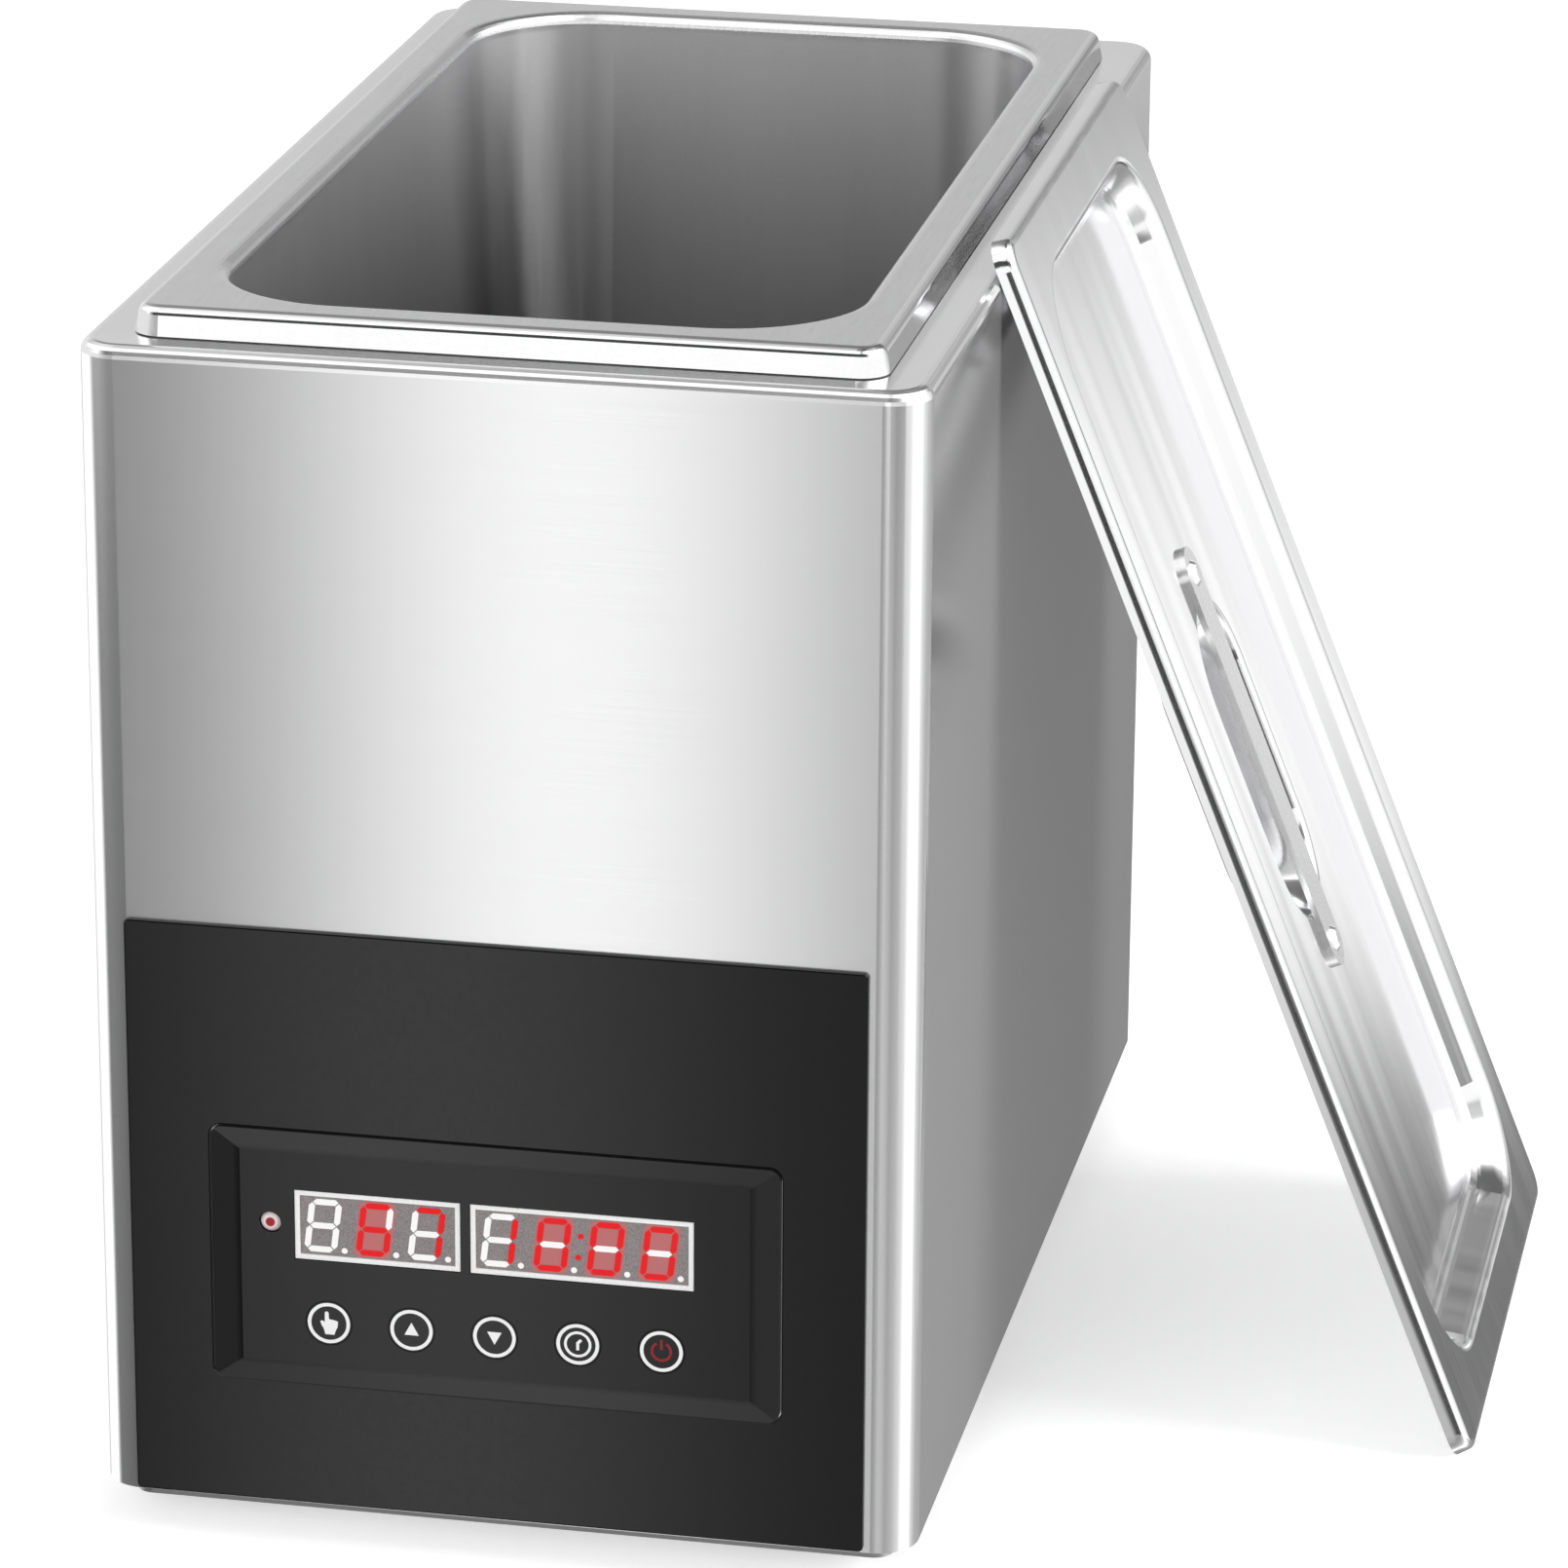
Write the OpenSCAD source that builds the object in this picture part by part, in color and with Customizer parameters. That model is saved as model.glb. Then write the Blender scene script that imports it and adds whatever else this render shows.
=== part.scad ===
// Commercial egg boiler: a stainless water bath that holds one deep gastronorm pan,
// with a control panel on the front and the lid stood against the right side.
// Origin: on the floor, below the centre of the body. +X right, +Y to the back, +Z up.

/* [Body] */
// Width of the body
body_w = 198; // [188:1:240]
// Depth of the body, front to back
body_d = 352; // [342:1:420]
// Height of the body, from its bottom edge to the deck
body_h = 284; // [255:1:345]
// Radius of the upright corners
body_corner_r = 10; // [8:0.5:12]
// Radius of the bend between wall and deck
edge_bend_r = 3; // [1.5:0.5:4]
// Thickness of the stainless sheet
sheet = 0.8; // [0.6:0.1:1]

/* [Base] */
// Width of the flange that the walls turn in at the bottom
base_flange = 20; // [18:1:24]
// Height of the base plate's upturned edge
base_h = 4; // [4:0.5:6]
// Distance from the body's outside to the base plate's edge
base_inset = 6; // [5:0.5:8]
// Thickness of the base plate
base_sheet = 1; // [0.8:0.1:1.2]
// Diameter of a foot where it meets the base plate
foot_d = 22; // [18:1:30]
// Height of a foot
foot_h = 6; // [6:1:15]
// Distance from the body's sides to a foot's centre
foot_inset = 32; // [28:1:45]

/* [Pan] */
// Width of the pan over its rim
pan_w = 176; // [160:1:178]
// Length of the pan over its rim
pan_d = 325; // [265:1:327]
// Depth of the pan, from the rim's top to the outside of its floor
pan_h = 150; // [100:1:160]
// Height of the rim above the deck
rim_h = 7; // [6:0.5:9]
// Width of the rim's flat top, up to the bend into the wall
rim_flange = 10; // [9:0.5:14]
// Radius of the rim's outer corners
rim_corner_r = 7; // [5:0.5:20]
// Corner radius of the pan's mouth
pan_corner_r = 32; // [29:1:45]
// Slope of the pan's walls, in degrees
pan_draft = 2.5; // [1.5:0.5:3.5]
// Radius between the pan's walls and floor
pan_floor_r = 16; // [10:1:18]
// Shift of the pan from the body's centre, to the back
pan_y = -4; // [-5:0.5:0]

/* [Water tank] */
// Space between the pan's wall and the tank's wall, at the mouth
tank_gap = 3.5; // [2.5:0.5:5]
// Space between the pan's floor and the tank's floor
water_gap = 35; // [32:1:50]
// Diameter of the heating element's sheath
heater_d = 8; // [6:0.5:10]
// Distance between the heating element's runs
heater_pitch = 28; // [24:1:32]

/* [Lid] */
// Width of the lid's flat border, up to the bend into its recess
lid_flange = 14; // [12:0.5:18]
// Height of the lid's turned-down lip
lid_lip = 5; // [4:0.5:8]
// Depth of the lid's recess
lid_recess = 9; // [7:0.5:12]
// Angle between the leaning lid and the floor
lid_lean = 68; // [62:0.5:74]
// Shift of the lid from the body's centre, to the back
lid_y = 13; // [-30:1:60]
// Length of the finger dish under the handle
dish_l = 88; // [76:1:110]
// Width of the finger dish
dish_w = 46; // [40:1:56]
// Depth of the finger dish below the recess
dish_h = 14.5; // [12:0.5:16]
// Width of the handle strap
handle_w = 14; // [10:1:18]

/* [Control panel] */
// Width of the black front panel
panel_w = 177; // [150:1:178]
// Height of the black front panel
panel_h = 145.5; // [120:0.5:180]
// Thickness of the black front panel
panel_t = 1.2; // [0.8:0.1:2]
// Width of the controller's bezel
bezel_w = 137; // [134:1:146]
// Height of the controller's bezel
bezel_h = 64; // [62:1:80]
// How far the bezel stands proud of the panel
bezel_proud = 0.6; // [0.4:0.1:1.5]
// Height of the bezel's centre above the body's bottom edge
bezel_z = 64; // [55:1:72]
// Width of the display with three digits
display_w3 = 40; // [38:0.5:42]
// Width of the display with four digits
display_w4 = 53.5; // [51:0.5:55]
// Height of both displays
display_h = 17.4; // [16:0.2:20]
// Diameter of a key
key_d = 11; // [9:0.5:14]
// Distance between the keys
key_pitch = 20.1; // [16:0.1:21]
// Travel of a key
key_travel = 0.5; // [0.3:0.1:0.8]
// Diameter of the heating light
led_d = 5; // [3:0.5:5]

/* [Cable gland] */
// Bore for the supply cable
cable_bore = 9; // [7:0.5:11]
// Thread diameter of the gland
gland_thread = 16; // [15:1:20]

/* [Fits] */
// Gap between pieces that lift apart or stand together
slip = 0.3; // [0.2:0.05:0.5]
// Gap round a key in its hole
key_gap = 0.2; // [0.15:0.05:0.3]
// Gap round a screw or thread in its hole
bolt_gap = 0.2; // [0.1:0.05:0.3]

/* [Hidden] */
$fn = 64;

// ---- Levels ----
shell_z = foot_h + base_h;
deck_z = shell_z + body_h;
rim_z = deck_z + rim_h;
front_y = -body_d / 2;
back_y = body_d / 2;

// ---- Fasteners ----
screw_d = 4;
screw_head_d = 7.4;
screw_head_h = 2.2;
nut_af = 7;
nut_h = 3.2;
hole_d = screw_d + 2 * bolt_gap;
seat_d = 11;
base_screw_x = body_w / 2 - 14;
base_screw_ys = [-body_d * 0.37, 0, body_d * 0.37];
foot_x = body_w / 2 - foot_inset;
foot_y = body_d / 2 - foot_inset;

// ---- Pressed edges ----
rim_bend_r = 2.5;
rim_flare = 12;
mouth_bend_r = 3;
lid_bend_r = 2;
lid_flare = 8;
recess_bend_r = 3;
recess_draft = 30;
recess_floor_r = 5;
dish_bend_r = 2.2;
dish_draft = 22;
dish_floor_r = 5;

// ---- Pan and tank ----
mouth_w = pan_w - 2 * rim_flange;
mouth_d = pan_d - 2 * rim_flange;
mouth_r = pan_corner_r + mouth_bend_r;
pan_out = mouth_bend_r - sheet;
tank_w = mouth_w - 2 * pan_out + 2 * tank_gap;
tank_d = mouth_d - 2 * pan_out + 2 * tank_gap;
tank_r = mouth_r - pan_out + tank_gap;
tank_top_z = deck_z - sheet;
tank_floor_z = rim_z - pan_h - water_gap;
tank_floor_r = 12;
tank_flange = 6;
insulation_t = 8;
insulation_z0 = tank_floor_z + 50;
insulation_z1 = tank_top_z - 6;

// ---- Heating element ----
heater_rise = 16;
heater_z = tank_floor_z + heater_rise;
heater_bend_r = 10;
heater_end_y = pan_y - tank_d / 2 + 40;
heater_far_y = pan_y + tank_d / 2 - 40;
heater_near_y = heater_end_y + 40;
heater_collar_d = heater_d + 12;
heater_collar_h = 2.5;
heater_thread_d = heater_d + 6;
heater_seal_h = 2;
heater_nut_h = 6;
heater_drop = 12;

// ---- Temperature probe ----
probe_d = 6;
probe_x = 30;
probe_z = (heater_z + heater_d / 2 + rim_z - pan_h) / 2;
probe_len = 70;
probe_thread_d = 10;
probe_collar_d = 15;

// ---- Thermostat under the tank's floor ----
thermostat_d = 16;
thermostat_h = 8;
thermostat_y = 60;
clip_l = 44;

// ---- Lid, lying flat with its border's top at z = 0 and its length along Y ----
lid_c = cos(lid_lean);
lid_s = sin(lid_lean);
recess_w = pan_w - 2 * lid_flange;
recess_d = pan_d - 2 * lid_flange;
recess_r = 27;
recess_end = floor_bend(recess_bend_r, recess_draft, lid_recess, recess_floor_r);
// The leaning lid stands on its lip, and bears on the body with the end of its recess, against
// the side wall, or with its side lips: on the bend at the deck's edge, or on the wall below it
lid_foot_z = tidy(lid_c * lid_lip);
recess_bears_x = body_w / 2 + slip + lid_c * (pan_d - lid_flange + recess_end[0])
    - lid_s * recess_end[1] + recess_floor_r + sheet;
lip_on_bend_x = body_w / 2 - edge_bend_r
    + (lid_c * (deck_z - edge_bend_r - lid_foot_z) + edge_bend_r + slip + lid_lip) / lid_s;
lip_on_wall_x = body_w / 2 + slip + lid_c * pan_d + lid_s * lid_lip;
lid_foot_x = tidy(max(recess_bears_x, min(lip_on_bend_x, lip_on_wall_x)));
handle_t = 1.5;
rivet_d = 4;
rivet_y = dish_l / 2 + 7;

// ---- Control panel ----
panel_x = -1;
bezel_t = panel_t + bezel_proud;
bezel_front_y = front_y - bezel_t;
bezel_r = 3;
bezel_cz = shell_z + bezel_z;
skirt_w = bezel_w - 9;
skirt_h = bezel_h - 10;
skirt_t = 1.6;
skirt_r = 2;
skirt_end_y = front_y + 8;
housing_l = 24;
board_t = 1.6;
board_y = front_y + 8;
board_w = skirt_w - 2 * skirt_t - 3;
board_h = skirt_h - 2 * skirt_t - 3;
pillar_x = board_w / 2 - 4;
pillar_z = board_h / 2 - 4;
display_gap = 2.5;
display_x3 = -(display_w4 + display_gap) / 2 - 0.2;
display_x4 = (display_w3 + display_gap) / 2 - 0.2;
display_z = 8.5;
display_frame = 1.2;
display_sunk = 0.4;
face_sunk = 0.4;
segment_sunk = 0.3;
led_x = display_x3 - display_w3 / 2 - 6;
key_z = -16;
key_cap_t = 1.4;
key_stem_d = 4;
switch_h = 3.5;

// ---- Electronics bay ----
bay_z = foot_h + base_sheet;
power_board_size = [110, 80];
power_board_pos = [-18, 30];
power_pillar_h = 8;
power_board_z = bay_z + power_pillar_h;
terminal_pos = [-45, 130];
earth_pos = [40, 130];
gland_x = -45;
gland_z = shell_z + 32;
gland_flat = gland_thread + 6;
gland_hex_h = 5;
gland_stub_l = 10;
gland_tail_l = 10;
gland_cap_l = 15;
gland_seal_d = gland_thread - 4;
gland_seal_z0 = gland_hex_h + gland_stub_l - 7;
gland_neck_z0 = gland_seal_z0 - 6;
gland_seal_z1 = gland_hex_h + slip + gland_cap_l - 2.5;

// ================= shared shapes =================

// Points along an arc, from one angle to another
function arc(c, r, from, to, steps = 5) =
    [for (i = [0 : steps]) let (a = from + (to - from) * i / steps)
        [c[0] + r * cos(a), c[1] + r * sin(a)]];

// Rounded to a hundredth, so that neighbouring pieces of one sheet share their edges
function tidy(v) = round(v * 100) / 100;

// Centre of the arc that joins a pressed wall to the floor below it
function floor_bend(bend_r, draft, depth, floor_r) =
    let (top = [-bend_r * cos(draft), -bend_r + bend_r * sin(draft)],
         foot_z = -depth + floor_r - floor_r * sin(draft),
         run = (top[1] - foot_z) / cos(draft))
    [tidy(top[0] - run * sin(draft) - floor_r * cos(draft)), -depth + floor_r];

// Section of a pressed wall: it bends down from a flat at x = 0 and out again into a floor
function pressed_wall(bend_r, draft, depth, floor_r, t) =
    let (c = floor_bend(bend_r, draft, depth, floor_r))
    concat(
        arc([0, -bend_r], bend_r, 90, 180 - draft),
        arc(c, floor_r, -draft, -90),
        arc(c, floor_r + t, -90, -draft),
        arc([0, -bend_r], bend_r - t, 180 - draft, 90));

// How far in from a lip's lowest edge its bend begins
function lip_in(bend_r, flare, drop) =
    tidy(bend_r * cos(flare) + (drop - bend_r + bend_r * sin(flare)) * tan(flare));

// Section of a turned-down lip, its lowest edge at x = 0
function lip_section(bend_r, flare, drop, t) =
    let (cx = -lip_in(bend_r, flare, drop),
         r = bend_r - t,
         inside = cx + r * cos(flare) + (drop - bend_r + r * sin(flare)) * tan(flare))
    concat(
        arc([cx, -bend_r], bend_r, 90, flare),
        [[0, -drop], [inside, -drop]],
        arc([cx, -bend_r], r, flare, 90));

// Outline of a rectangle with round corners
module rounded_rect(w, d, r) {
    square([w - 2 * r, d], center = true);
    square([w, d - 2 * r], center = true);
    for (x = [-1, 1], y = [-1, 1])
        translate([x * (w / 2 - r), y * (d / 2 - r)]) circle(r);
}

// Flat plate with round corners
module rounded_plate(w, d, r, h) {
    linear_extrude(h) rounded_rect(w, d, r);
}

// Upright wall along a rectangle with round corners, measured over its outside
module rounded_wall(w, d, r, t, h) {
    linear_extrude(h) difference() {
        rounded_rect(w, d, r);
        rounded_rect(w - 2 * t, d - 2 * t, r - t);
    }
}

// Flat border between two rectangles with round corners, its top at z = 0
module border(w, d, r, in_w, in_d, in_r, t) {
    translate([0, 0, -t]) linear_extrude(t) difference() {
        rounded_rect(w, d, r);
        rounded_rect(in_w, in_d, in_r);
    }
}

// A section carried once round a rectangle with round corners. Section x points outwards
// from the rectangle's line and section y points up.
module swept_round(w, d, r, section) {
    for (side = [-1, 1]) {
        rotate([0, 0, side < 0 ? 180 : 0]) translate([w / 2, d / 2 - r, 0])
            rotate([90, 0, 0]) linear_extrude(d - 2 * r) polygon(section);
        rotate([0, 0, side * 90]) translate([d / 2, w / 2 - r, 0])
            rotate([90, 0, 0]) linear_extrude(w - 2 * r) polygon(section);
    }
    for (quarter = [0 : 3], odd = quarter % 2) {
        rotate([0, 0, quarter * 90])
            translate([(odd ? d : w) / 2 - r, (odd ? w : d) / 2 - r, 0])
                rotate_extrude(angle = 90) translate([r, 0]) polygon(section);
    }
}

// Six-sided nut with its bore, standing on z = 0
module hex_nut(flat, bore, h) {
    difference() {
        cylinder(d = flat / cos(30), h = h, $fn = 6);
        translate([0, 0, -1]) cylinder(d = bore, h = h + 2);
    }
}

// Pan-head screw: the head's seat is at z = 0, the head below it and the shank above
module screw(len, d = screw_d, head_d = screw_head_d, head_h = screw_head_h) {
    translate([0, 0, -head_h]) cylinder(d1 = head_d - 1, d2 = head_d, h = head_h);
    cylinder(d = d, h = len);
}

// Slot with round ends, lying along X
module slot(l, w, h) {
    linear_extrude(h) {
        square([l - w, w], center = true);
        for (x = [-1, 1]) translate([x * (l - w) / 2, 0]) circle(d = w);
    }
}

module at_feet() {
    for (x = [-1, 1], y = [-1, 1]) translate([x * foot_x, y * foot_y, 0]) children();
}

module at_base_screws() {
    for (x = [-1, 1], y = base_screw_ys) translate([x * base_screw_x, y, 0]) children();
}

// Puts a shape drawn in the front face's plane (x right, y up, z out to the front) in place
module on_front(y) {
    translate([panel_x, y, bezel_cz]) rotate([90, 0, 0]) children();
}

// ================= body =================

module body_shell() color("gainsboro") difference() {
    union() {
        translate([0, 0, shell_z])
            rounded_wall(body_w, body_d, body_corner_r, sheet, body_h - edge_bend_r);
        translate([0, 0, deck_z])
            swept_round(body_w, body_d, body_corner_r, deck_bend());
        translate([0, 0, deck_z])
            border(body_w - 2 * edge_bend_r, body_d - 2 * edge_bend_r, body_corner_r - edge_bend_r,
                10, 10, 2, sheet);
        translate([0, 0, shell_z + sheet])
            border(body_w, body_d, body_corner_r,
                body_w - 2 * base_flange, body_d - 2 * base_flange, 4, sheet);
    }
    translate([0, pan_y, deck_z - 5]) rounded_plate(tank_w, tank_d, tank_r, 10);
    on_front(front_y + 5) rounded_plate(skirt_w + slip, skirt_h + slip, skirt_r, 10);
    translate([gland_x, back_y + 5, gland_z]) rotate([90, 0, 0])
        cylinder(d = gland_thread + 2 * bolt_gap, h = 10);
    at_base_screws() translate([0, 0, shell_z - 1]) cylinder(d = hole_d, h = 5);
}

// Section of the bend between wall and deck, its outside at x = 0 and the deck's top at y = 0
function deck_bend() = concat(
    arc([-edge_bend_r, -edge_bend_r], edge_bend_r, 0, 90),
    arc([-edge_bend_r, -edge_bend_r], edge_bend_r - sheet, 90, 0));

// ================= base =================

module base_plate() color("darkgray") difference() {
    w = body_w - 2 * base_inset;
    d = body_d - 2 * base_inset;
    r = body_corner_r - base_inset + 1;
    seat_h = base_h - base_sheet;
    translate([0, 0, foot_h]) union() {
        rounded_wall(w, d, r, base_sheet, base_h);
        rounded_plate(w - base_sheet, d - base_sheet, r - base_sheet / 2, base_sheet);
        at_base_screws() cylinder(d = seat_d + 2 * base_sheet, h = base_h);
    }
    at_base_screws() translate([0, 0, foot_h - 1]) {
        cylinder(d = seat_d, h = seat_h + 1);
        cylinder(d = hole_d, h = 10);
    }
    at_feet() translate([0, 0, foot_h - 1]) cylinder(d = hole_d, h = 5);
    for (y = [-5 : 5]) translate([foot_x - 28, y * 9, foot_h - 1]) slot(36, 4, 3);
}

module foot(x, y) color("dimgray") translate([x * foot_x, y * foot_y, 0]) difference() {
    cylinder(d1 = foot_d - 3, d2 = foot_d, h = foot_h);
    translate([0, 0, -1]) cylinder(d = seat_d - 2, h = screw_head_h + 2);
    cylinder(d = hole_d, h = foot_h + 1);
}

module foot_screws() color("silver") at_feet()
    translate([0, 0, screw_head_h + 1]) screw(foot_h - 1 - screw_head_h + base_sheet + nut_h + 1);

module foot_nuts() color("silver") at_feet()
    translate([0, 0, bay_z]) hex_nut(nut_af, screw_d + 0.1, nut_h);

module base_screws() color("silver") at_base_screws()
    translate([0, 0, shell_z - base_sheet]) screw(base_sheet + sheet + nut_h + 1);

module base_screw_nuts() color("silver") at_base_screws()
    translate([0, 0, shell_z + sheet]) hex_nut(nut_af, screw_d + 0.1, nut_h);

// ================= water bath =================

module water_tank() color("silver") difference() {
    depth = tank_top_z - tank_floor_z;
    wall = concat(
        [[0, 0], [tank_flange, 0], [tank_flange, -sheet], [sheet, -sheet]],
        arc([-tank_floor_r, -depth + tank_floor_r], tank_floor_r + sheet, 0, -90),
        arc([-tank_floor_r, -depth + tank_floor_r], tank_floor_r, -90, 0));
    translate([0, pan_y, tank_top_z]) union() {
        swept_round(tank_w, tank_d, tank_r, wall);
        translate([0, 0, -depth - sheet])
            rounded_plate(tank_w - 2 * tank_floor_r, tank_d - 2 * tank_floor_r,
                tank_r - tank_floor_r, sheet);
    }
    at_heater_ends() translate([0, 0, tank_floor_z - 3])
        cylinder(d = heater_thread_d + 2 * bolt_gap, h = 5);
    at_probe() translate([0, 0, -5]) cylinder(d = probe_thread_d + 2 * bolt_gap, h = 10);
}

module insulation() color("khaki") translate([0, pan_y, insulation_z0]) {
    grow = 2 * (sheet + slip + insulation_t);
    rounded_wall(tank_w + grow, tank_d + grow, tank_r + grow / 2, insulation_t,
        insulation_z1 - insulation_z0);
}

module at_heater_ends() {
    for (x = [-1.5, 1.5]) translate([x * heater_pitch, heater_end_y, 0]) children();
}

// Half turn of the sheath in the level plane, opening to -Y or +Y
module heater_turn(x, y, back) {
    translate([x, y, heater_z]) rotate([0, 0, back ? 0 : 180]) rotate_extrude(angle = 180)
        translate([heater_pitch / 2, 0]) circle(d = heater_d);
}

module heater_run(x, from, to) {
    translate([x, from, heater_z]) rotate([-90, 0, 0]) cylinder(d = heater_d, h = to - from);
}

module heating_element() color("slategray") union() {
    collar_z = tank_floor_z + heater_seal_h;
    bend_y = heater_end_y + heater_bend_r;
    for (x = [-1.5, 1.5]) {
        heater_run(x * heater_pitch, bend_y, heater_far_y);
        translate([x * heater_pitch, bend_y, heater_z - heater_bend_r]) rotate([90, 0, -90])
            rotate_extrude(angle = 90) translate([heater_bend_r, 0]) circle(d = heater_d);
        heater_turn(x * heater_pitch * 2 / 3, heater_far_y, true);
    }
    for (x = [-0.5, 0.5]) heater_run(x * heater_pitch, heater_near_y, heater_far_y);
    heater_turn(0, heater_near_y, false);
    at_heater_ends() {
        translate([0, 0, collar_z])
            cylinder(d = heater_d, h = heater_z - heater_bend_r - collar_z);
        translate([0, 0, collar_z]) cylinder(d = heater_collar_d, h = heater_collar_h);
        translate([0, 0, tank_floor_z - heater_drop])
            cylinder(d = heater_thread_d, h = heater_drop + heater_seal_h);
        translate([0, 0, tank_floor_z - heater_drop - 3]) cylinder(d = heater_d, h = 4);
        translate([0, 0, tank_floor_z - heater_drop - 12]) cylinder(d = 3, h = 10);
    }
}

module heater_seals() color("saddlebrown") at_heater_ends()
    translate([0, 0, tank_floor_z]) difference() {
        cylinder(d = heater_collar_d - 1, h = heater_seal_h);
        translate([0, 0, -1]) cylinder(d = heater_thread_d + 2 * bolt_gap, h = heater_seal_h + 2);
    }

module heater_nuts() color("silver") at_heater_ends()
    translate([0, 0, tank_floor_z - sheet - heater_nut_h])
        hex_nut(heater_thread_d + 6, heater_thread_d + 0.1, heater_nut_h);

// Drawn with z along the probe, from the tank's front wall into the water
module at_probe() {
    translate([probe_x, pan_y - tank_d / 2, probe_z]) rotate([-90, 0, 0]) children();
}

module temperature_probe() color("silver") at_probe() union() {
    translate([0, 0, 2]) cylinder(d = probe_collar_d, h = 2.5);
    translate([0, 0, 2]) cylinder(d = probe_d, h = probe_len - probe_d / 2);
    translate([0, 0, probe_len + 2 - probe_d / 2]) sphere(d = probe_d);
    translate([0, 0, -10]) cylinder(d = probe_thread_d, h = 12);
    translate([0, 0, -13]) cylinder(d = 5, h = 4);
}

module probe_seal() color("dimgray") at_probe() difference() {
    cylinder(d = probe_collar_d - 1, h = 2);
    translate([0, 0, -1]) cylinder(d = probe_thread_d + 2 * bolt_gap, h = 4);
}

module probe_nut() color("silver") at_probe() translate([0, 0, -sheet - 4])
    hex_nut(probe_thread_d + 5, probe_thread_d + 0.1, 4);

module limit_thermostat() color("ivory")
    translate([0, thermostat_y, tank_floor_z - sheet]) mirror([0, 0, 1]) {
        cylinder(d = thermostat_d, h = thermostat_h);
        for (x = [-1, 1]) translate([x * 4 - 0.4, -3, thermostat_h - 1]) cube([0.8, 6, 9]);
    }

// A strap that holds the thermostat up against the tank's floor
module thermostat_clip() color("silver")
    translate([0, thermostat_y, tank_floor_z - sheet]) rotate([90, 0, 0])
        translate([0, 0, -5]) difference() {
            linear_extrude(10) polygon([
                [-clip_l / 2, 0], [-clip_l / 2, -1], [-13, -1], [-10, -thermostat_h - 1],
                [10, -thermostat_h - 1], [13, -1], [clip_l / 2, -1], [clip_l / 2, 0],
                [12, 0], [9, -thermostat_h], [-9, -thermostat_h], [-12, 0]]);
            for (x = [-1, 1]) translate([x * 4 - 1, -20, 1.5]) cube([2, 15, 7]);
        }

// ================= pan =================

module pan() color("lightgray") translate([0, pan_y, rim_z]) union() {
    depth = pan_h - sheet;
    drop = rim_h - slip;
    lip = lip_in(rim_bend_r, rim_flare, drop);
    floor_c = floor_bend(mouth_bend_r, pan_draft, depth, pan_floor_r);
    swept_round(pan_w, pan_d, rim_corner_r, lip_section(rim_bend_r, rim_flare, drop, sheet));
    border(pan_w - 2 * lip, pan_d - 2 * lip, rim_corner_r - lip, mouth_w, mouth_d, mouth_r, sheet);
    swept_round(mouth_w, mouth_d, mouth_r,
        pressed_wall(mouth_bend_r, pan_draft, depth, pan_floor_r, sheet));
    translate([0, 0, -depth - sheet])
        rounded_plate(mouth_w + 2 * floor_c[0], mouth_d + 2 * floor_c[0], mouth_r + floor_c[0], sheet);
}

// ================= lid =================

// Stands a shape drawn on the flat lid against the body's right side
module leaning() {
    translate([lid_foot_x, lid_y, lid_foot_z]) rotate([0, lid_lean, 0]) rotate([0, 0, 90])
        translate([0, pan_d / 2, 0]) children();
}

module lid() color("silver") leaning() difference() {
    lip = lip_in(lid_bend_r, lid_flare, lid_lip);
    floor_w = recess_w + 2 * recess_end[0];
    floor_d = recess_d + 2 * recess_end[0];
    dish_end = floor_bend(dish_bend_r, dish_draft, dish_h, dish_floor_r);
    union() {
        swept_round(pan_w, pan_d, rim_corner_r,
            lip_section(lid_bend_r, lid_flare, lid_lip, sheet));
        border(pan_w - 2 * lip, pan_d - 2 * lip, rim_corner_r - lip,
            recess_w, recess_d, recess_r, sheet);
        swept_round(recess_w, recess_d, recess_r,
            pressed_wall(recess_bend_r, recess_draft, lid_recess, recess_floor_r, sheet));
        translate([0, 0, -lid_recess]) {
            border(floor_w, floor_d, recess_r + recess_end[0],
                dish_w, dish_l, dish_w / 2 - 0.01, sheet);
            swept_round(dish_w, dish_l, dish_w / 2 - 0.01,
                pressed_wall(dish_bend_r, dish_draft, dish_h, dish_floor_r, sheet));
            translate([0, 0, -dish_h - sheet])
                rounded_plate(dish_w + 2 * dish_end[0], dish_l + 2 * dish_end[0],
                    dish_w / 2 - 0.01 + dish_end[0], sheet);
        }
    }
    at_rivets() translate([0, 0, -3]) cylinder(d = rivet_d + 2 * bolt_gap, h = 6);
}

module at_rivets() {
    for (side = [-1, 1]) translate([0, side * rivet_y, -lid_recess]) children();
}

// Strap that bridges the finger dish along the lid
module lid_handle() color("silver") leaning() difference() {
    translate([0, 0, -lid_recess]) rotate([0, 0, 90])
        slot(2 * rivet_y + handle_w, handle_w, handle_t);
    at_rivets() translate([0, 0, -1]) cylinder(d = rivet_d + 2 * bolt_gap, h = 5);
}

module handle_rivets() color("gray") leaning() at_rivets() {
    translate([0, 0, -sheet - 1]) cylinder(d = rivet_d + 2, h = 1);
    translate([0, 0, -sheet]) cylinder(d = rivet_d, h = sheet + handle_t);
    translate([0, 0, handle_t]) cylinder(d1 = rivet_d + 3, d2 = rivet_d + 1, h = 1.2);
}

// ================= control panel =================

module front_panel() color("black") difference() {
    translate([0, front_y, shell_z + panel_h / 2 + 0.5]) rotate([90, 0, 0])
        rounded_plate(panel_w, panel_h, 1, panel_t);
    on_front(front_y + 5) rounded_plate(bezel_w + slip, bezel_h + slip, bezel_r, 20);
}

module display_window(x, w, grow) {
    translate([x, display_z, 0]) square([w + grow, display_h + grow], center = true);
}

module at_keys() {
    for (i = [0 : 4]) translate([(i - 2) * key_pitch, key_z]) children();
}

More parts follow.
